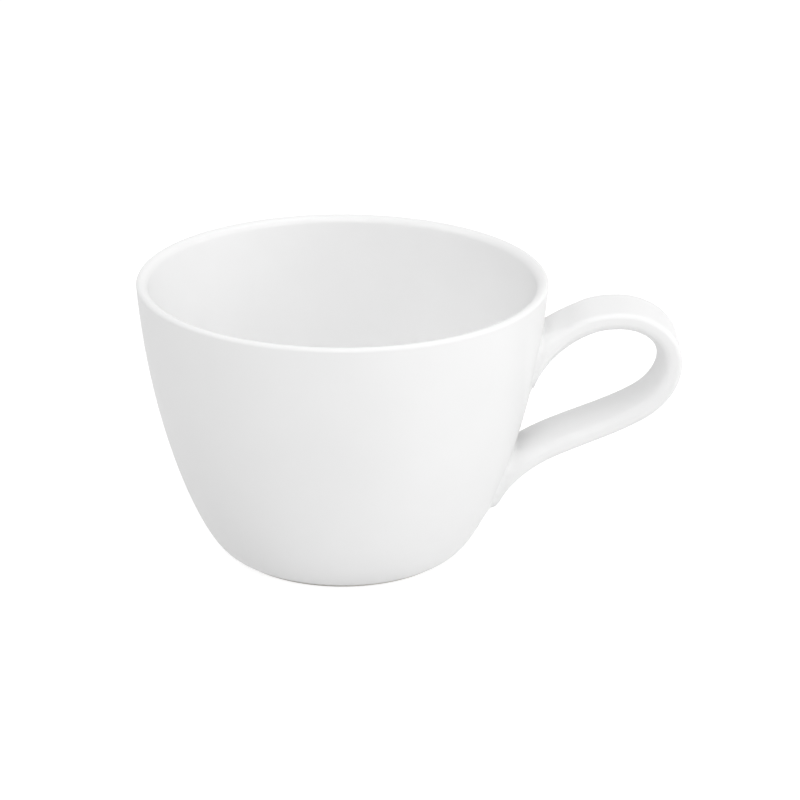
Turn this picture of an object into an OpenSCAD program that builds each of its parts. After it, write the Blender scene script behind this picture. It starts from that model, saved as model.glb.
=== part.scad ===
// Porcelain coffee cup with a strap handle: a turned bowl on a bare foot ring, and a
// cast handle stuck to the wall with two pads of slip. The cup stands on z = 0 with
// its axis on Z, and the handle points along +X.

/* [Bowl] */
// Radius of the rim, outside
rim_r = 46; // [42:0.5:52]
// Height of the whole cup
cup_h = 64; // [58:0.1:74]
// Radius at which the wall leaves the foot ring, outside
base_r = 28.1; // [24:0.1:31]
// Slope of the wall's first stretch over the foot ring, in degrees
base_slope = 21; // [12:1:28]
// Lean of the wall at the rim, outwards from upright, in degrees
rim_lean = 3.5; // [2:0.5:8]
// Thickness of the lip
lip_w = 2.6; // [2:0.1:3.6]
// Rounding of the lip's outer edge
lip_round = 0.8; // [0.6:0.1:1.1]
// Thickness of the floor
floor_t = 3.6; // [2.8:0.1:5]
// Radius of the flat part of the floor, inside
floor_r = 22; // [14:0.5:23]

/* [Foot ring] */
// Height of the foot ring
foot_h = 1.0; // [0.8:0.1:1.6]
// Inset of the foot ring's outside from the edge of the wall over it
foot_inset = 1.1; // [0.5:0.1:3]
// Width of the foot ring
foot_w = 3; // [2:0.1:4]
// Rounding of the foot ring's outer edge
foot_round = 0.35; // [0.2:0.05:0.5]
// Height of the hollow under the floor, at the centre
hollow_h = 2.2; // [1.8:0.1:2.6]
// Fall of the hollow from its centre to its edge
hollow_fall = 0.5; // [0.2:0.1:0.7]

/* [Handle] */
// Reach of the handle beyond the rim
reach = 30.1; // [26:0.1:34]
// Thickness of the strap at its edges
strap_t = 3.3; // [2.8:0.1:4.2]
// Swell of the strap's finger side, from its edges to its middle
finger_crown = 1.9; // [0.6:0.1:2.6]
// Rounding of the strap's edges
edge_round = 1.2; // [0.8:0.1:1.4]
// Rounding to which the edges grow where the roots meet the wall
root_round = 4.4; // [1.5:0.1:5.5]
// Width of the strap over the crest and the shoulder
strap_w = 14.5; // [12:0.1:17]
// Width of the handle where it meets the wall at the top
upper_root_w = 17; // [14:0.1:20]
// Width of the handle where it meets the wall at the bottom
lower_root_w = 17.2; // [14:0.1:20]
// Depth of the crest below the rim
crest_drop = 5.75; // [4:0.05:9]
// Depth of the point, below the rim, where the handle's top face meets the wall
upper_joint_drop = 11.7; // [11:0.1:16]
// Height of the upper joint on the wall
upper_joint_h = 12.4; // [9:0.1:14]
// Height above the table where the finger side of the lower run meets the wall
lower_joint_z = 22.4; // [21:0.1:26]
// Height of the lower joint on the wall
lower_joint_h = 12.3; // [10:0.1:14]
// Slope of the strap where it rises out of the upper root, in degrees
upper_slope = 22; // [14:1:30]
// Slope of the strap where it turns in at the heel, in degrees
heel_slope = 31.3; // [26:0.1:36]
// Slope of the lower run where it enters the lower root, in degrees
lower_slope = 24.7; // [18:0.1:30]
// Rounding of the tip in which the upper root ends on the wall
upper_tip_round = 0.2; // [0.2:0.1:1]
// Rounding of the toe in which the lower root ends on the wall
lower_tip_round = 1.8; // [1:0.1:2.6]

/* [Slip joints] */
// Thickness of the slip between the wall and the handle
slip_t = 0.3; // [0.2:0.05:0.5]
// Width of the slip's fillet round the handle's root
slip_fillet = 1.2; // [0.6:0.1:1.6]
// Play between the slip and the turned wall, which keeps the facets off it
slip_play = 0.04; // [0.03:0.01:0.08]

/* [Hidden] */
$fn = 128;

// Arms of the bowl's two curves, as shares of the height that each climbs
outer_low_arm_share = 0.069;
outer_high_arm_share = 0.57;
inner_low_arm_share = 0.243;
inner_high_arm_share = 0.265;
// Steps along the wall's curves and round the lip's arcs
wall_steps = 40;
lip_steps = 7;
hollow_steps = 8;

// Places of the handle's knots, as shares of its reach beyond the rim and of its fall
// from the crest to the joint on the finger side of the lower run
rise_out_share = 0.299;
rise_fall_share = 0.035;
crest_out_share = 0.538;
shoulder_fall_share = 0.303;
heel_out_share = 0.7;
heel_fall_share = 0.648;
run_out_share = 0.133;
run_fall_share = 0.881;
// Headings at which the root's faces leave the wall, in degrees from level
upper_face_slope = 31;
upper_tip_slope = 74;
lower_face_slope = 29;
lower_tip_slope = 68;
// Rings in each root, and in the rise, the shoulder, the heel and the lower run
root_rings = 12;
tip_rings = 3;
span_rings = [4, 12, 10, 7];
// Rings from the edge of a root's footprint to its middle
pad_rings = 4;
// Angle either side of each face's middle over which a section runs flat
flat_angle = 12;
// Steps over the half-width of a flat face, the half-depth of an edge, and a corner
face_steps = 3;
edge_steps = 2;
corner_steps = 4;
// Share of the running length at which the strap's width has come down to its least,
// and at which it starts to grow again
waist_from_share = 0.3;
waist_to_share = 0.55;

white = [0.93, 0.93, 0.92];
bare_clay = [0.86, 0.84, 0.8];
slip_white = [0.9, 0.9, 0.88];

// Direction in the side view at an angle from level
function aim(a) = [cos(a), sin(a)];

// Point of a cubic curve at t, from its four control points
function on_curve(p, t) =
    pow(1 - t, 3) * p[0] + 3 * pow(1 - t, 2) * t * p[1] + 3 * (1 - t) * t * t * p[2] + pow(t, 3) * p[3];

// Heading of a cubic curve at t, as a vector
function along_curve(p, t) =
    pow(1 - t, 2) * (p[1] - p[0]) + 2 * (1 - t) * t * (p[2] - p[1]) + t * t * (p[3] - p[2]);

// Curve from one point to another, with its heading and arm at each
function span(from, from_a, from_arm, to, to_a, to_arm) =
    [from, from + from_arm * aim(from_a), to - to_arm * aim(to_a), to];

// Curve with equal arms, as long as they are on an arc that turns from one heading to the
// other over the same distance
function bend(from, from_a, to, to_a) =
    let (arm = norm(to - from) / (3 * pow(cos((to_a - from_a) / 4), 2)))
    span(from, from_a, arm, to, to_a, arm);

// The bowl's outline. Its two sides meet the lip's arcs, which share one top point.
rim_heading = 90 - rim_lean;
lip_inner_round = lip_w - lip_round;
lip_top_r = rim_r - lip_round;
rim_corner_r = lip_top_r + lip_round * (tan(rim_lean) + 1 / cos(rim_lean));
outer_curve = span([base_r, foot_h], base_slope, (cup_h - foot_h) * outer_low_arm_share,
                   [rim_corner_r, cup_h], rim_heading, (cup_h - foot_h) * outer_high_arm_share);
outer_lip_centre = [lip_top_r, cup_h - lip_round];
inner_lip_centre = [lip_top_r, cup_h - lip_inner_round];
inner_wall_top = inner_lip_centre + lip_inner_round * aim(180 - rim_lean);
floor_z = hollow_h + floor_t;
inner_climb = inner_wall_top[1] - floor_z;
inner_curve = span([floor_r, floor_z], 0, inner_climb * inner_low_arm_share,
                   inner_wall_top, rim_heading, inner_climb * inner_high_arm_share);
outer_lip_start = outer_lip_centre + lip_round * aim(-rim_lean);
outer_wall = [for (k = [0 : wall_steps]) on_curve(outer_curve, pow(k / wall_steps, 1.3))];
outer_side = [for (p = outer_wall) if (p[1] < outer_lip_start[1]) p];
inner_side = [for (k = [0 : wall_steps]) on_curve(inner_curve, 1 - k / wall_steps)];
outer_lip = [for (k = [0 : lip_steps]) outer_lip_centre
             + lip_round * aim(-rim_lean + (90 + rim_lean) * k / lip_steps)];
inner_lip = [for (k = [1 : lip_steps - 1]) inner_lip_centre
             + lip_inner_round * aim(90 + (90 - rim_lean) * k / lip_steps)];
foot_r = base_r - foot_inset;
hollow_r = foot_r - foot_w;
hollow_roof = [for (k = [0 : hollow_steps - 1])
               [hollow_r * k / hollow_steps, hollow_h - hollow_fall * pow(k / hollow_steps, 2)]];
hollow_edge = [hollow_r, hollow_h - hollow_fall];

// Radius of the outside of the wall at a height, from the outline that it is turned to
wall_table = [for (p = concat(outer_side, outer_lip)) [p[1], p[0]]];
function wall_r(z) = lookup(z, wall_table);
function wall_point(z, off) = [wall_r(z) + off, z];

module bowl() {
    color(white)
        rotate_extrude()
            polygon(concat(hollow_roof, [hollow_edge, [hollow_r, foot_h]],
                           outer_side, outer_lip, inner_lip, inner_side, [[0, floor_z]]));
}

module foot_ring() {
    round_points = [for (k = [0 : lip_steps]) [foot_r - foot_round, foot_round]
                    + foot_round * aim(-90 + 90 * k / lip_steps)];
    color(bare_clay)
        rotate_extrude()
            polygon(concat([[hollow_r, foot_h], [hollow_r, foot_round], [hollow_r + foot_round, 0]],
                           round_points, [[foot_r, foot_h]]));
}

// The handle's spine, in the side view: a rise, a shoulder, a heel and a lower run
out_r = rim_r + reach;
crest_z = cup_h - crest_drop - strap_t / 2;
fall = crest_z - lower_joint_z;
function knot(out_share, fall_share) = [rim_r + reach * out_share, crest_z - fall * fall_share];
rise_knot = knot(rise_out_share, rise_fall_share);
crest_knot = knot(crest_out_share, 0);
shoulder_knot = [out_r - strap_t / 2, crest_z - fall * shoulder_fall_share];
heel_knot = knot(heel_out_share, heel_fall_share);
run_knot = knot(run_out_share, run_fall_share);
heel_heading = -180 + heel_slope;
run_heading = -180 + lower_slope;
spine = [bend(rise_knot, upper_slope, crest_knot, 0),
         bend(crest_knot, 0, shoulder_knot, -90),
         bend(shoulder_knot, -90, heel_knot, heel_heading),
         bend(heel_knot, heel_heading, run_knot, run_heading)];

// A section is its outer point, its inner point, how much of the wall's curve it takes,
// which is 1 on the wall itself, how much of the crown its finger side has, and the
// direction against which the crown swells. The crown runs out in the upper root, and goes
// down to the wall with the lower one.
function left_of(v) = [-v[1], v[0]] / norm(v);
strap_rings = [for (s = [0 : len(spine) - 1]) for (k = [(s == 0 ? 0 : 1) : span_rings[s]])
    let (t = k / span_rings[s], c = on_curve(spine[s], t), n = left_of(along_curve(spine[s], t)))
    [c + n * strap_t / 2, c - n * strap_t / 2, 0, 1, n]];

// Point of a root's tip, which leaves the wall at its foot and turns up to an angle
function tip_point(z, round, a) = wall_point(z, slip_t) + round * [sin(a), 1 - cos(a)];

// The upper root: its top face runs straight in, and its underside sweeps down the wall
upper_top_z = cup_h - upper_joint_drop;
upper_tip_z = upper_top_z - upper_joint_h;
upper_start = strap_rings[0];
upper_face = bend(wall_point(upper_top_z, slip_t), upper_face_slope, upper_start[0], upper_slope);
upper_sweep = bend(tip_point(upper_tip_z, upper_tip_round, upper_tip_slope), upper_tip_slope,
                   upper_start[1], upper_slope);

// The lower root: its finger side runs straight in, and its outside sweeps down the wall
lower_tip_z = lower_joint_z - lower_joint_h;
lower_start = strap_rings[len(strap_rings) - 1];
lower_face = bend(wall_point(lower_joint_z, slip_t), lower_face_slope, lower_start[1], lower_slope);
lower_sweep = bend(tip_point(lower_tip_z, lower_tip_round, lower_tip_slope), lower_tip_slope,
                   lower_start[0], lower_slope);

// Points of a root from the wall outwards. The swept face starts with its tip's arc, so
// that its first section lies on the wall as a whole.
function face_points(face) = [for (k = [0 : root_rings - 1]) on_curve(face, k / root_rings)];
function sweep_points(sweep, z, round, slope) = concat(
    [for (k = [0 : tip_rings - 1]) tip_point(z, round, slope * k / tip_rings)],
    [for (k = [tip_rings : root_rings - 1])
        on_curve(sweep, sweep_share(k))]);
function hug(k) = pow(1 - k / root_rings, 2);
upper_faces = face_points(upper_face);
upper_sweeps = sweep_points(upper_sweep, upper_tip_z, upper_tip_round, upper_tip_slope);
lower_faces = face_points(lower_face);
lower_sweeps = sweep_points(lower_sweep, lower_tip_z, lower_tip_round, lower_tip_slope);

// The crown of a root swells square to the finger side's own curve, and turns to lie
// along the section where that meets the wall
function swell(square, along, share) =
    let (v = square * (1 - share) + along / norm(along) * share)
    v / norm(v);
function sweep_share(k) = max(0, (k - tip_rings) / (root_rings - tip_rings));
upper_rings = [for (k = [0 : root_rings - 1])
    let (square = left_of(along_curve(upper_sweep, sweep_share(k))),
         along = upper_faces[k] - upper_sweeps[k])
    [upper_faces[k], upper_sweeps[k], hug(k), ease(k / root_rings), swell(square, along, hug(k))]];
lower_rings = [for (k = [root_rings - 1 : -1 : 0])
    let (square = -left_of(along_curve(lower_face, k / root_rings)),
         along = lower_sweeps[k] - lower_faces[k])
    [lower_sweeps[k], lower_faces[k], hug(k), 1, swell(square, along, hug(k))]];
rings = concat(upper_rings, strap_rings, lower_rings);

// Width of the strap at a share of the way round: a waist that swells to both roots
function ease(x) = (1 - cos(180 * max(0, min(1, x)))) / 2;
function width_at(s) = strap_w
    + (upper_root_w - strap_w) * ease(1 - s / waist_from_share)
    + (lower_root_w - strap_w) * ease((s - waist_to_share) / (1 - waist_to_share));

// Angles of a section's points: flat faces, flat edges and rounded corners
quarter_angles = concat(
    [for (k = [0 : edge_steps - 1]) flat_angle * k / edge_steps],
    [for (k = [0 : corner_steps - 1]) flat_angle + (90 - 2 * flat_angle) * k / corner_steps],
    [for (k = [0 : face_steps - 1]) 90 - flat_angle + flat_angle * k / face_steps]);
section_angles = concat(quarter_angles, [for (k = [len(quarter_angles) : -1 : 1])
    180 - (k == len(quarter_angles) ? 90 : quarter_angles[k])],
    [for (a = quarter_angles) 180 + a],
    [for (k = [len(quarter_angles) : -1 : 1])
    360 - (k == len(quarter_angles) ? 90 : quarter_angles[k])]);

// Offset of a rounded section from its middle, where s is the sine or the cosine
function rounded(s, half, r) = (half - r) * max(-1, min(1, s / sin(flat_angle))) + r * s;

// Swell of a section's finger side at y, where share is how much of the crown it has
function crown_at(u, y, width, share) =
    u < 0 ? finger_crown * share * (1 - pow(2 * y / width, 2)) : 0;

// Point of the wall's surface above a root's footprint, pushed out by off
function on_wall(p, y, off) = [sqrt(pow(wall_r(p[1]) + off, 2) - y * y), y, p[1]];

// Points of one section, bent to the wall as far as its share says. The point of the
// root's footprint that it follows is at the same part of the section on the wall. The
// edges grow rounder all along a root.
function ring_points(ring, width, foot) =
    let (half = norm(ring[0] - ring[1]) / 2,
         r = min(half, edge_round + (root_round - edge_round) * sqrt(ring[2])),
         mid = (ring[0] + ring[1]) / 2,
         out = (ring[0] - ring[1]) / (2 * half),
         foot_mid = (foot[0] + foot[1]) / 2,
         foot_half = (foot[0] - foot[1]) / 2)
    [for (a = section_angles)
        let (u = rounded(sin(a), half, r),
             y = rounded(cos(a), width / 2, r),
             crown = crown_at(u, y, width, ring[3]),
             p = mid + out * u - ring[4] * crown,
             f = foot_mid + foot_half * ((u - crown) / half),
             push = ring[2] == 0 ? 0 : ring[2] * (on_wall(f, y, slip_t)[0] - f[0]))
        [p[0] + push, y, p[1]]];

last = len(rings) - 1;
handle_points = [for (k = [0 : last])
    ring_points(rings[k], width_at(k / last), k < last / 2 ? rings[0] : rings[last])];
n_ring = len(section_angles);

// Rings on the wall, from the edge of a root's footprint to its middle, pushed out by off
// and with the edge moved out by grow
function pad_layers(foot, width, grow, off) =
    let (mid = (foot[0] + foot[1]) / 2,
         out = (foot[0] - foot[1]) / norm(foot[0] - foot[1]),
         half = norm(foot[0] - foot[1]) / 2 + grow,
         r = min(half, root_round + grow))
    [for (j = [0 : pad_rings - 1])
        let (share = 1 - j / pad_rings)
        [for (a = section_angles)
            let (u = rounded(sin(a), half, r),
                 y = rounded(cos(a), width / 2 + grow, r),
                 crowned = u - crown_at(u, y, width + 2 * grow, foot[3]))
            on_wall(mid + out * share * crowned, share * y, off)]];
function pad_middle(foot, off) =
    on_wall((foot[0] + foot[1]) / 2, 0, off);

// Triangles of a skin over a stack of rings, closed by a point at each end. Rings turn
// anticlockwise when seen from the last point back to the first.
function skin_faces(n_rings, n) = concat(
    [for (j = [0 : n - 1]) [n_rings * n, j, (j + 1) % n]],
    [for (k = [0 : n_rings - 2]) for (j = [0 : n - 1])
        each [[k * n + j, (k + 1) * n + j, (k + 1) * n + (j + 1) % n],
              [k * n + j, (k + 1) * n + (j + 1) % n, k * n + (j + 1) % n]]],
    [for (j = [0 : n - 1]) [n_rings * n + 1, (n_rings - 1) * n + (j + 1) % n, (n_rings - 1) * n + j]]);
module skin(layers, first, final) {
    polyhedron(concat([for (layer = layers) each layer], [first, final]),
               skin_faces(len(layers), n_ring));
}
function turned_round(list) = [for (k = [len(list) - 1 : -1 : 0]) list[k]];

module handle() {
    upper_pad = pad_layers(rings[0], upper_root_w, 0, slip_t);
    lower_pad = pad_layers(rings[last], lower_root_w, 0, slip_t);
    color(white)
        skin(concat(turned_round([for (j = [1 : pad_rings - 1]) upper_pad[j]]), handle_points,
                    [for (j = [1 : pad_rings - 1]) lower_pad[j]]),
             pad_middle(rings[0], slip_t), pad_middle(rings[last], slip_t));
}

// A pad of slip: it fills the space between the wall and the root, and its edge runs
// out on the wall in a hollow fillet
fillet_steps = 3;
module slip_pad(foot, width) {
    face = pad_layers(foot, width, 0, slip_t);
    back = pad_layers(foot, width, slip_fillet, slip_play);
    fillet = [for (k = [1 : fillet_steps - 1])
        let (a = 90 * k / fillet_steps, off = slip_play + (slip_t - slip_play) * (1 - sin(a)))
        pad_layers(foot, width, slip_fillet * (1 - cos(a)), off)[0]];
    color(slip_white)
        skin(concat(turned_round(face), fillet, back),
             pad_middle(foot, slip_t), pad_middle(foot, slip_play));
}
module upper_slip_joint() {
    slip_pad(rings[0], upper_root_w);
}
module lower_slip_joint() {
    slip_pad(rings[last], lower_root_w);
}

bowl();
foot_ring();
handle();
upper_slip_joint();
lower_slip_joint();
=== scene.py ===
import math

import bpy
import numpy as np
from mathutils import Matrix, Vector


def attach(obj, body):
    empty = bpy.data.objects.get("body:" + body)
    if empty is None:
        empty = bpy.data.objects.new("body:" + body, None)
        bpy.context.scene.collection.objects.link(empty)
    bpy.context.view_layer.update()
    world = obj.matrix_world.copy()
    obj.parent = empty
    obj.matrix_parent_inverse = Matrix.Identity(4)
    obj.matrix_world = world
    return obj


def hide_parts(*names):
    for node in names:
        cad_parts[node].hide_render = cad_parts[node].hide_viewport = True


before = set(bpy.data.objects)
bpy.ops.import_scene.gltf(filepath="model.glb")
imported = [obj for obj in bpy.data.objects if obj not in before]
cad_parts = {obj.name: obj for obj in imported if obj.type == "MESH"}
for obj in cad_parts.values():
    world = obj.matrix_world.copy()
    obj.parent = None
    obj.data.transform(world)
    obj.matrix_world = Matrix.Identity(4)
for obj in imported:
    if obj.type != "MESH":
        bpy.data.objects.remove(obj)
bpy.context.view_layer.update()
MM = 0.001

# The bowl is one turned body of porcelain, dipped in clear glossy glaze all over except
# the ring that it stands on. Its wall sweeps out from the foot in one curve and ends in
# a lip that is rounder towards the drinker's side than outside.
RIM_R = 46.0
CUP_H = 64.0
BASE_R = 28.1
BASE_SLOPE = 21.0
RIM_LEAN = 3.5
LIP_W = 2.6
LIP_ROUND = 0.8
FLOOR_T = 3.6
FLOOR_R = 22.0
FOOT_H = 1.0
FOOT_INSET = 1.1
FOOT_W = 3.0
FOOT_ROUND = 0.35
HOLLOW_H = 2.2
HOLLOW_FALL = 0.5
OUTER_ARM_SHARES = (0.069, 0.57)
INNER_ARM_SHARES = (0.243, 0.265)
AROUND = 256
WALL_STEPS = 160
WALL_CROWDING = 1.3
INSIDE_STEPS = 80
LIP_STEPS = 14
FLAT_STEPS = 12
GLAZE = "#f2f2f2"
GLAZE_SHADE = "#eeeeee"
GLAZE_INDEX = 1.5
GLAZE_COAT = 0.3
GLAZE_ROUGHNESS = 0.16
BODY_ROUGHNESS = 0.35
SCATTER_SHARE = 0.06
SCATTER_M = 0.003
DRIFT_SCALE = 45.0
WAVE_SCALE = 110.0
WAVE_STRENGTH = 0.05
WAVE_DEPTH_M = 0.0004


def linear(hex_colour):
    """The linear RGBA of an sRGB hex colour."""
    levels = [int(hex_colour[i:i + 2], 16) / 255 for i in (1, 3, 5)]
    return [v / 12.92 if v <= 0.04045 else ((v + 0.055) / 1.055) ** 2.4 for v in levels] + [1.0]


def aim(degrees):
    """Unit vector in the side view at an angle above level."""
    return np.array([math.cos(math.radians(degrees)), math.sin(math.radians(degrees))])


def span(start, start_deg, first_arm, end, end_deg, last_arm):
    """Four control points of a cubic curve, from its end points, headings and arms."""
    start, end = np.array(start, float), np.array(end, float)
    return np.array([start, start + first_arm * aim(start_deg), end - last_arm * aim(end_deg), end])


def on_curve(points, t):
    """Points of a cubic curve at the parameters t."""
    t = np.asarray(t, float)[:, None]
    return ((1 - t) ** 3 * points[0] + 3 * (1 - t) ** 2 * t * points[1]
            + 3 * (1 - t) * t ** 2 * points[2] + t ** 3 * points[3])


def arc(centre, radius, from_deg, to_deg, steps):
    """Points of an arc in the side view, one row each."""
    a = np.radians(np.linspace(from_deg, to_deg, steps + 1))[:, None]
    return np.array(centre) + radius * np.hstack([np.cos(a), np.sin(a)])


def surface(name, grid, loop=False, ends=(False, False)):
    """A mesh from a grid of points in millimetres, one quad between each four neighbours.
    Columns run round and close on themselves, and rows do so too if loop is set. A closed
    end joins that row's points to their middle by triangles."""
    grid = np.asarray(grid, float) * MM
    rows, cols = grid.shape[:2]
    points = grid.reshape(-1, 3)
    r, c = np.meshgrid(np.arange(rows if loop else rows - 1), np.arange(cols), indexing="ij")
    a, b = r * cols + c, r * cols + (c + 1) % cols
    up = ((r + 1) % rows - r) * cols
    faces = np.stack([a, b, b + up, a + up], -1).reshape(-1, 4).tolist()
    ring = np.arange(cols)
    after = (ring + 1) % cols
    if ends[0]:
        middle = np.full(cols, len(points))
        points = np.vstack([points, grid[0].mean(0)])
        faces += np.stack([middle, after, ring], -1).tolist()
    if ends[1]:
        middle = np.full(cols, len(points))
        points = np.vstack([points, grid[-1].mean(0)])
        last = (rows - 1) * cols
        faces += np.stack([middle, last + ring, last + after], -1).tolist()
    mesh = bpy.data.meshes.new(name)
    mesh.from_pydata(points.tolist(), [], faces)
    mesh.polygons.foreach_set("use_smooth", [True] * len(faces))
    mesh.update()
    obj = bpy.data.objects.new(name, mesh)
    bpy.context.scene.collection.objects.link(obj)
    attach(obj, "root")
    return obj


def turned(profile):
    """Grid of a side-view profile turned about the Z axis, one column per step round."""
    profile = np.asarray(profile, float)
    a = np.arange(AROUND) * 2 * math.pi / AROUND
    return np.stack([profile[:, :1] * np.cos(a), profile[:, :1] * np.sin(a),
                     np.repeat(profile[:, 1:], AROUND, 1)], -1)


def node_adder(tree):
    """Clears a node tree and gives the function that adds a node to it."""
    tree.nodes.clear()

    def add(kind, values=(), **settings):
        """Adds one node. Each value goes to its socket by name or number, as a link where
        it is another node's socket."""
        node = tree.nodes.new(kind)
        for key, value in settings.items():
            setattr(node, key, value)
        for key, value in dict(values).items():
            if isinstance(value, bpy.types.NodeSocket):
                tree.links.new(value, node.inputs[key])
            else:
                node.inputs[key].default_value = value
        return node

    return add


def new_material(name):
    """An empty material and the function that adds its nodes."""
    material = bpy.data.materials.new(name)
    material.use_nodes = True
    return material, node_adder(material.node_tree)


def glazed_porcelain(name):
    """White porcelain under clear feldspar glaze. The coat is the glaze, which mirrors the
    room as a soft sheen. The body under it scatters light a few millimetres deep, its tone
    drifts very slightly over some 20 mm, and the glaze lies in shallow waves about 9 mm
    apart, which bend what it mirrors."""
    material, add = new_material(name)
    place = add("ShaderNodeTexCoord").outputs["Object"]
    drift = add("ShaderNodeTexNoise", {"Vector": place, "Scale": DRIFT_SCALE, "Detail": 2.0})
    tone = add("ShaderNodeMix", {"Factor": drift.outputs["Fac"], "A": linear(GLAZE),
                                 "B": linear(GLAZE_SHADE)}, data_type="RGBA")
    ripple = add("ShaderNodeTexNoise", {"Vector": place, "Scale": WAVE_SCALE, "Detail": 1.0})
    waves = add("ShaderNodeBump", {"Height": ripple.outputs["Fac"], "Strength": WAVE_STRENGTH,
                                   "Distance": WAVE_DEPTH_M})
    shader = add("ShaderNodeBsdfPrincipled",
                 {"Base Color": tone.outputs["Result"], "Roughness": BODY_ROUGHNESS,
                  "IOR": GLAZE_INDEX, "Specular IOR Level": 0.0,
                  "Normal": waves.outputs["Normal"], "Coat Weight": GLAZE_COAT,
                  "Coat Roughness": GLAZE_ROUGHNESS, "Coat IOR": GLAZE_INDEX,
                  "Coat Normal": waves.outputs["Normal"], "Subsurface Weight": SCATTER_SHARE,
                  "Subsurface Radius": (SCATTER_M, SCATTER_M, SCATTER_M),
                  "Subsurface Scale": 1.0})
    add("ShaderNodeOutputMaterial", {"Surface": shader.outputs["BSDF"]})
    return material


rim_heading = 90 - RIM_LEAN
lip_inner_round = LIP_W - LIP_ROUND
lip_top_r = RIM_R - LIP_ROUND
lean = math.radians(RIM_LEAN)
rim_corner_r = lip_top_r + LIP_ROUND * (math.tan(lean) + 1 / math.cos(lean))
climb = CUP_H - FOOT_H
outer_curve = span((BASE_R, FOOT_H), BASE_SLOPE, climb * OUTER_ARM_SHARES[0],
                   (rim_corner_r, CUP_H), rim_heading, climb * OUTER_ARM_SHARES[1])
outer_lip_centre = np.array([lip_top_r, CUP_H - LIP_ROUND])
inner_lip_centre = np.array([lip_top_r, CUP_H - lip_inner_round])
inner_top = inner_lip_centre + lip_inner_round * aim(180 - RIM_LEAN)
floor_z = HOLLOW_H + FLOOR_T
inner_climb = inner_top[1] - floor_z
inner_curve = span((FLOOR_R, floor_z), 0, inner_climb * INNER_ARM_SHARES[0],
                   inner_top, rim_heading, inner_climb * INNER_ARM_SHARES[1])
outer_lip_start = outer_lip_centre + LIP_ROUND * aim(-RIM_LEAN)
foot_r = BASE_R - FOOT_INSET
hollow_r = foot_r - FOOT_W
out_share = np.linspace(0, 1, FLAT_STEPS + 1)[1:, None]
hollow_roof = np.hstack([hollow_r * out_share, HOLLOW_H - HOLLOW_FALL * out_share ** 2])
# The wall's steps crowd towards the foot, where it bends most.
outer_wall = on_curve(outer_curve, np.linspace(0, 1, WALL_STEPS + 1) ** WALL_CROWDING)
outer_wall = outer_wall[outer_wall[:, 1] < outer_lip_start[1]]
inner_wall = on_curve(inner_curve, np.linspace(1, 0, INSIDE_STEPS + 1))
bowl_floor = np.hstack([FLOOR_R * out_share, floor_z + 0 * out_share])[::-1]
profile = np.vstack([hollow_roof, [[hollow_r, FOOT_H]], outer_wall,
                     arc(outer_lip_centre, LIP_ROUND, -RIM_LEAN, 90, LIP_STEPS),
                     arc(inner_lip_centre, lip_inner_round, 90, 180 - RIM_LEAN, LIP_STEPS)[1:],
                     inner_wall[1:], bowl_floor[1:]])
bowl = surface("bowl_glazed", turned(profile), ends=(True, True))
bowl.data.materials.append(glazed_porcelain("white_glazed_porcelain"))
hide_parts("bowl")

# The foot ring is the same porcelain, wiped clean of glaze before firing and ground flat
# so that the cup doesn't stick to the kiln shelf. It stands a little in from the wall.
FOOT_BARE = "#d9d7d2"
FOOT_GRAIN = "#c9c6c0"
BARE_ROUGHNESS = 0.75
GRAIN_SCALE = 2500.0
GRIT_STRENGTH = 0.4
GRIT_DEPTH_M = 0.00005
FOOT_ROUND_STEPS = 5


def bare_porcelain(name):
    """Fired porcelain body, ground with fine grit: matt and slightly greyer than under the
    glaze. The real grain of about 0.05 mm is drawn at about 0.4 mm, so that it shows."""
    material, add = new_material(name)
    place = add("ShaderNodeTexCoord").outputs["Object"]
    grain = add("ShaderNodeTexNoise", {"Vector": place, "Scale": GRAIN_SCALE, "Detail": 4.0})
    tone = add("ShaderNodeMix", {"Factor": grain.outputs["Fac"], "A": linear(FOOT_BARE),
                                 "B": linear(FOOT_GRAIN)}, data_type="RGBA")
    grit = add("ShaderNodeBump", {"Height": grain.outputs["Fac"], "Strength": GRIT_STRENGTH,
                                  "Distance": GRIT_DEPTH_M})
    shader = add("ShaderNodeBsdfPrincipled",
                 {"Base Color": tone.outputs["Result"], "Roughness": BARE_ROUGHNESS,
                  "Normal": grit.outputs["Normal"]})
    add("ShaderNodeOutputMaterial", {"Surface": shader.outputs["BSDF"]})
    return material


ring_profile = np.vstack([[[hollow_r, FOOT_H]],
                          arc((hollow_r + FOOT_ROUND, FOOT_ROUND), FOOT_ROUND, 180, 270,
                              FOOT_ROUND_STEPS),
                          arc((foot_r - FOOT_ROUND, FOOT_ROUND), FOOT_ROUND, -90, 0,
                              FOOT_ROUND_STEPS),
                          [[foot_r, FOOT_H]]])
foot = surface("foot_ring_bare", turned(ring_profile), loop=True)
foot.data.materials.append(bare_porcelain("bare_ground_porcelain"))
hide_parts("foot_ring")

# The handle is cast in its own mould as a strap, flat outside and crowned on the finger
# side, and is stuck to the leather-hard bowl. Its upper root sweeps down the wall and
# its lower root ends in a rounded toe.
REACH = 30.1
STRAP_T = 3.3
FINGER_CROWN = 1.9
EDGE_ROUND = 1.2
ROOT_ROUND = 4.4
STRAP_W = 14.5
UPPER_ROOT_W = 17.0
LOWER_ROOT_W = 17.2
CREST_DROP = 5.75
UPPER_JOINT_DROP = 11.7
UPPER_JOINT_H = 12.4
LOWER_JOINT_Z = 22.4
LOWER_JOINT_H = 12.3
UPPER_SLOPE = 22.0
HEEL_SLOPE = 31.3
LOWER_SLOPE = 24.7
UPPER_TIP_ROUND = 0.2
LOWER_TIP_ROUND = 1.8
RISE_SHARES = (0.299, 0.035)
CREST_SHARES = (0.538, 0)
SHOULDER_FALL_SHARE = 0.303
HEEL_SHARES = (0.7, 0.648)
RUN_SHARES = (0.133, 0.881)
UPPER_FACE_SLOPE = 31.0
UPPER_TIP_SLOPE = 74.0
LOWER_FACE_SLOPE = 29.0
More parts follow.
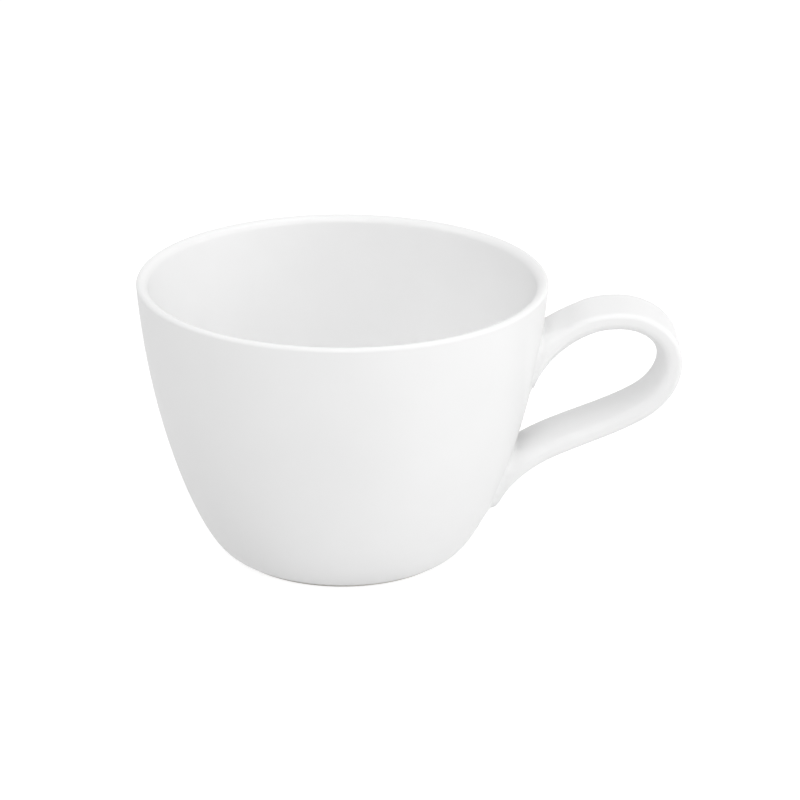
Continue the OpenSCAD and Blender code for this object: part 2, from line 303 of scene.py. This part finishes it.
LOWER_TIP_SLOPE = 68.0
WAIST_FROM = 0.3
WAIST_TO = 0.55
SLIP_T = 0.3
TIP_SLIP_T = 0.05
ROOT_STEPS = 36
TIP_STEPS = 9
SPAN_STEPS = (10, 30, 24, 18)
FLAT_ANGLE = 12
CORNER_STEPS = 12
FLAT_PART_STEPS = 6


def wall_r(z):
    """Radius of the outside of the wall at a height."""
    return np.interp(z, outer_wall[:, 1], outer_wall[:, 0])


def bend(start, start_deg, end, end_deg):
    """Control points of a cubic curve between two headings, with both arms as long as on
    an arc that makes the same turn over the same distance."""
    chord = np.linalg.norm(np.subtract(end, start))
    arm = chord / (3 * math.cos(math.radians((end_deg - start_deg) / 4)) ** 2)
    return span(start, start_deg, arm, end, end_deg, arm)


def left_of_curve(points, t):
    """Unit vectors square to a cubic curve at the parameters t, on its left side."""
    t = np.asarray(t, float)[:, None]
    ahead = ((1 - t) ** 2 * (points[1] - points[0]) + 2 * (1 - t) * t * (points[2] - points[1])
             + t ** 2 * (points[3] - points[2]))
    left = np.stack([-ahead[:, 1], ahead[:, 0]], -1)
    return left / np.linalg.norm(left, axis=1)[:, None]


def knot(out_share, fall_share):
    """A point of the handle's spine, as shares of its reach and of its fall."""
    return np.array([RIM_R + REACH * out_share, crest_z - fall * fall_share])


def ease(x):
    """Smooth step from 0 to 1."""
    return (1 - np.cos(np.pi * np.clip(x, 0, 1))) / 2


def slip_at(z):
    """Thickness of the slip under a root at a height. It thins out towards each tip."""
    return np.interp(z, [lower_tip_z, LOWER_JOINT_Z, upper_tip_z, upper_top_z],
                     [TIP_SLIP_T, SLIP_T, TIP_SLIP_T, SLIP_T])


def on_wall(z, y, off):
    """X of the wall's surface pushed out by off, at a height and at y from the middle."""
    return np.sqrt((wall_r(z) + off) ** 2 - y ** 2)


def tip_arc(z, radius, slope):
    """Points of a root's tip: an arc that leaves the wall square and turns up to a slope."""
    a = np.radians(slope * np.arange(TIP_STEPS + 1) / TIP_STEPS)
    return (np.array([wall_r(z) + TIP_SLIP_T, z])
            + radius * np.stack([np.sin(a), 1 - np.cos(a)], -1))


def swell(square, along, share):
    """Direction against which the crown swells: square to the finger side, turned by a
    share to lie along the section, which is all the way on the wall."""
    along = along / np.linalg.norm(along, axis=1)[:, None]
    v = square * (1 - share[:, None]) + along * share[:, None]
    return v / np.linalg.norm(v, axis=1)[:, None]


out_r = RIM_R + REACH
crest_z = CUP_H - CREST_DROP - STRAP_T / 2
fall = crest_z - LOWER_JOINT_Z
upper_top_z = CUP_H - UPPER_JOINT_DROP
upper_tip_z = upper_top_z - UPPER_JOINT_H
lower_tip_z = LOWER_JOINT_Z - LOWER_JOINT_H
heel_heading = -180 + HEEL_SLOPE
run_heading = -180 + LOWER_SLOPE
shoulder = np.array([out_r - STRAP_T / 2, crest_z - fall * SHOULDER_FALL_SHARE])
spine = (bend(knot(*RISE_SHARES), UPPER_SLOPE, knot(*CREST_SHARES), 0),
         bend(knot(*CREST_SHARES), 0, shoulder, -90),
         bend(shoulder, -90, knot(*HEEL_SHARES), heel_heading),
         bend(knot(*HEEL_SHARES), heel_heading, knot(*RUN_SHARES), run_heading))
middle, square = [], []
for curve, steps in zip(spine, SPAN_STEPS):
    t = np.arange(1 if middle else 0, steps + 1) / steps
    middle.append(on_curve(curve, t))
    square.append(left_of_curve(curve, t))
middle, square = np.vstack(middle), np.vstack(square)
strap_out, strap_in = middle + square * STRAP_T / 2, middle - square * STRAP_T / 2

root_share = np.arange(ROOT_STEPS) / ROOT_STEPS
sweep_share = np.clip((np.arange(ROOT_STEPS) - TIP_STEPS) / (ROOT_STEPS - TIP_STEPS), 0, 1)
root_hug = (1 - root_share) ** 2
upper_tip = tip_arc(upper_tip_z, UPPER_TIP_ROUND, UPPER_TIP_SLOPE)
lower_tip = tip_arc(lower_tip_z, LOWER_TIP_ROUND, LOWER_TIP_SLOPE)
upper_face = bend((wall_r(upper_top_z) + SLIP_T, upper_top_z), UPPER_FACE_SLOPE,
                  strap_out[0], UPPER_SLOPE)
upper_sweep = bend(upper_tip[-1], UPPER_TIP_SLOPE, strap_in[0], UPPER_SLOPE)
lower_face = bend((wall_r(LOWER_JOINT_Z) + SLIP_T, LOWER_JOINT_Z), LOWER_FACE_SLOPE,
                  strap_in[-1], LOWER_SLOPE)
lower_sweep = bend(lower_tip[-1], LOWER_TIP_SLOPE, strap_out[-1], LOWER_SLOPE)
upper_out = on_curve(upper_face, root_share)
upper_in = np.vstack([upper_tip[:-1], on_curve(upper_sweep, sweep_share[TIP_STEPS:])])
lower_out = np.vstack([lower_tip[:-1], on_curve(lower_sweep, sweep_share[TIP_STEPS:])])
lower_in = on_curve(lower_face, root_share)
upper_swell = swell(left_of_curve(upper_sweep, sweep_share), upper_out - upper_in, root_hug)
lower_swell = swell(-left_of_curve(lower_face, root_share), lower_out - lower_in, root_hug)

outs = np.vstack([upper_out, strap_out, lower_out[::-1]])
ins = np.vstack([upper_in, strap_in, lower_in[::-1]])
swells = np.vstack([upper_swell, square, lower_swell[::-1]])
hug = np.concatenate([root_hug, np.zeros(len(middle)), root_hug[::-1]])[:, None]
crown_share = np.concatenate([ease(root_share), np.ones(len(middle) + ROOT_STEPS)])[:, None]
way = np.linspace(0, 1, len(outs))[:, None]
width = (STRAP_W + (UPPER_ROOT_W - STRAP_W) * ease(1 - way / WAIST_FROM)
         + (LOWER_ROOT_W - STRAP_W) * ease((way - WAIST_TO) / (1 - WAIST_TO)))

# A section is a rectangle with rounded corners, run through by angle, so that sections
# match point for point. Its finger side is crowned, and in a root it bends to the wall.
quarter = np.concatenate([np.linspace(0, FLAT_ANGLE, FLAT_PART_STEPS, endpoint=False),
                          np.linspace(FLAT_ANGLE, 90 - FLAT_ANGLE, CORNER_STEPS, endpoint=False),
                          np.linspace(90 - FLAT_ANGLE, 90, FLAT_PART_STEPS, endpoint=False)])
section_angle = np.radians(np.concatenate([quarter, 90 + quarter, 180 + quarter, 270 + quarter]))
flat = math.sin(math.radians(FLAT_ANGLE))
half = np.linalg.norm(outs - ins, axis=1)[:, None] / 2
radius = np.minimum(half, EDGE_ROUND + (ROOT_ROUND - EDGE_ROUND) * np.sqrt(hug))
u = (half - radius) * np.clip(np.sin(section_angle) / flat, -1, 1) + radius * np.sin(section_angle)
y = ((width / 2 - radius) * np.clip(np.cos(section_angle) / flat, -1, 1)
     + radius * np.cos(section_angle))
crown = np.where(u < 0, FINGER_CROWN * crown_share * (1 - (2 * y / width) ** 2), 0)
along = (outs - ins) / (2 * half)
flat_points = ((outs + ins)[:, None] / 2 + along[:, None] * u[..., None]
               - swells[:, None] * crown[..., None])
foot_out = np.where(way < 0.5, outs[0], outs[-1])[:, None]
foot_in = np.where(way < 0.5, ins[0], ins[-1])[:, None]
under = (foot_out + foot_in) / 2 + (foot_out - foot_in) / 2 * ((u - crown) / half)[..., None]
push = hug * (on_wall(under[..., 1], y, slip_at(under[..., 1])) - under[..., 0])
sections = np.stack([flat_points[..., 0] + push, y, flat_points[..., 1]], -1)

handle = surface("handle_strap", sections, ends=(True, True))
handle.data.materials.append(glazed_porcelain("white_glazed_handle"))
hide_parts("handle")

# Slip, which is clay thinned with water, sticks each root to the wall. It is squeezed out
# round the root and wiped off with a brush, which leaves a hollow fillet that is tight at
# the sides and widest below. The same glaze covers it.
UPPER_FILLETS = (0.8, 1.3, 2.6)
LOWER_FILLETS = (2.2, 1.6, 2.6)
UPPER_CLIMBS = (3, 5, 12)
LOWER_CLIMBS = (9, 7, 12)
FILLET_STEPS = 12


def round_root(values, low):
    """A value at each point round a root, eased from the top through the sides to the
    bottom. Low is 0 at the top, 0.5 at the sides and 1 at the bottom."""
    top, side, bottom = values
    return top + (side - top) * ease(2 * low) + (bottom - side) * ease(2 * low - 1)


def slip_fillet(name, from_wall, node_name, fillets, climbs):
    """A hollow fillet round a root whose sections are given from the wall outwards. At each
    point of the root's edge it is a quadratic curve from a toe on the wall to a point of
    the root's side. It leaves the wall along its slope at the toe. The toe stands off by
    the fillets, and the point lies the climbs out in sections, each above, beside and
    below the root."""
    ring = from_wall[0]
    ahead = np.roll(ring, -1, 0) - np.roll(ring, 1, 0)
    away = np.stack([np.zeros(len(ring)), ahead[:, 2], -ahead[:, 1]], -1)
    away *= np.sign((away * (ring - ring.mean(0))).sum(1))[:, None]
    away /= np.linalg.norm(away, axis=1)[:, None]
    low = (1 - away[:, 2]) / 2
    toe = ring + away * round_root(fillets, low)[:, None]
    corner = ring.copy()
    toe[:, 0], corner_x, halfway_x = (on_wall(p[:, 2], p[:, 1], 0)
                                      for p in (toe, corner, (toe + corner) / 2))
    corner[:, 0] = 4 * halfway_x - 2 * toe[:, 0] - corner_x
    height = round_root(climbs, low)
    below = np.floor(height).astype(int)
    part = (height - below)[:, None]
    column = np.arange(len(ring))
    above = from_wall[below, column] * (1 - part) + from_wall[below + 1, column] * part
    t = (np.arange(FILLET_STEPS + 1) / FILLET_STEPS)[:, None, None]
    piece = surface(name, (1 - t) ** 2 * toe + 2 * t * (1 - t) * corner + t ** 2 * above)
    piece.data.materials.append(glazed_porcelain(name + "_glaze"))
    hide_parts(node_name)


slip_fillet("upper_slip_fillet", sections, "upper_slip_joint", UPPER_FILLETS, UPPER_CLIMBS)
slip_fillet("lower_slip_fillet", sections[::-1, ::-1], "lower_slip_joint", LOWER_FILLETS,
            LOWER_CLIMBS)

# The ground and the surroundings are plain white. Seen directly or in the glaze they are
# full white, with the cup's faint contact shadow on the ground.
GROUND_SIDE = 6.0
GROUND_Z = -0.0001
GROUND_WHITE = 0.8
GROUND_LIT = 0.85
GROUND_SHADED = 0.3
FILL = 0.485


def seen_as_picture(add):
    """A socket that is 1 for rays from the camera, mirrored rays and rays through glass."""
    path = add("ShaderNodeLightPath")
    direct = add("ShaderNodeMath", {0: path.outputs["Is Camera Ray"],
                                    1: path.outputs["Is Glossy Ray"]}, operation="MAXIMUM")
    return add("ShaderNodeMath", {0: direct.outputs[0], 1: path.outputs["Is Transmission Ray"]},
               operation="MAXIMUM").outputs[0]


bpy.ops.mesh.primitive_plane_add(size=GROUND_SIDE, location=(0, 0, GROUND_Z))
ground = bpy.context.object
ground.name = "ground"
ground_material, add = new_material("white_ground")
white_paper = add("ShaderNodeBsdfDiffuse", {"Color": (GROUND_WHITE, GROUND_WHITE, GROUND_WHITE, 1)})
shaded = add("ShaderNodeBsdfDiffuse", {"Color": (GROUND_SHADED, GROUND_SHADED, GROUND_SHADED, 1)})
lit = add("ShaderNodeEmission", {"Color": (1, 1, 1, 1), "Strength": GROUND_LIT})
picture = add("ShaderNodeAddShader", {0: shaded.outputs[0], 1: lit.outputs[0]})
shown = add("ShaderNodeMixShader", {0: seen_as_picture(add), 1: white_paper.outputs[0],
                                    2: picture.outputs[0]})
add("ShaderNodeOutputMaterial", {"Surface": shown.outputs[0]})
ground.data.materials.append(ground_material)

world = bpy.data.worlds.new("white_studio")
bpy.context.scene.world = world
world.use_nodes = True
add = node_adder(world.node_tree)
fill = add("ShaderNodeBackground", {"Color": (1, 1, 1, 1), "Strength": FILL})
white = add("ShaderNodeBackground", {"Color": (1, 1, 1, 1), "Strength": 1.0})
shown = add("ShaderNodeMixShader", {0: seen_as_picture(add), 1: fill.outputs[0],
                                    2: white.outputs[0]})
add("ShaderNodeOutputWorld", {"Surface": shown.outputs[0]})

# Large soft boxes stand round the cup. The lamps' rows give the name, the azimuth from +X,
# the elevation and the watts.
TARGET = Vector((0.01, 0, 0.035))
LAMP_DISTANCE = 1.0
LAMP_SIDE = 0.5
LAMPS = (
    ("right_box", 0, 15, 1.80),
    ("front_right_box", -45, 15, 1.65),
    ("left_box", 180, 45, 1.89),
    ("front_box", -90, 45, 2.53),
    ("top_right_box", 0, 72, 1.74),
)


def stand_facing(name, data, target, distance, azimuth, elevation):
    """A new lamp or camera that stands off a target, at an azimuth from +X and an elevation,
    and faces it."""
    az, el = math.radians(azimuth), math.radians(elevation)
    obj = bpy.data.objects.new(name, data)
    obj.location = target + distance * Vector((math.cos(el) * math.cos(az),
                                               math.cos(el) * math.sin(az), math.sin(el)))
    obj.rotation_euler = (target - obj.location).to_track_quat("-Z", "Y").to_euler()
    bpy.context.scene.collection.objects.link(obj)
    return obj


for name, azimuth, elevation, power in LAMPS:
    lamp = bpy.data.lights.new(name, "AREA")
    lamp.shape = "SQUARE"
    lamp.size, lamp.energy = LAMP_SIDE, power
    stand_facing(name, lamp, TARGET, LAMP_DISTANCE, azimuth, elevation)

# The camera stands in front of the cup, a little above it, with the handle to the right.
# Light is followed through many turns, because white porcelain lights its own corners.
CAM_DISTANCE = 0.552
CAM_AZIMUTH = -88.0
CAM_ELEVATION = 22.28
LOOK_AT = Vector((0, 0, 0.032))
SENSOR_MM = 36.0
LENS_MM = 108.70
SHIFT_X = 0.0721
SHIFT_Y = 0.0108
WHITE_BOUNCES = 16
MOST_BOUNCES = 24
camera_data = bpy.data.cameras.new("camera")
camera_data.sensor_width, camera_data.lens = SENSOR_MM, LENS_MM
camera_data.shift_x, camera_data.shift_y = SHIFT_X, SHIFT_Y
bpy.context.scene.camera = stand_facing("camera", camera_data, LOOK_AT, CAM_DISTANCE,
                                        CAM_AZIMUTH, CAM_ELEVATION)
bpy.context.scene.view_settings.view_transform = "Standard"
bpy.context.scene.cycles.diffuse_bounces = WHITE_BOUNCES
bpy.context.scene.cycles.max_bounces = MOST_BOUNCES
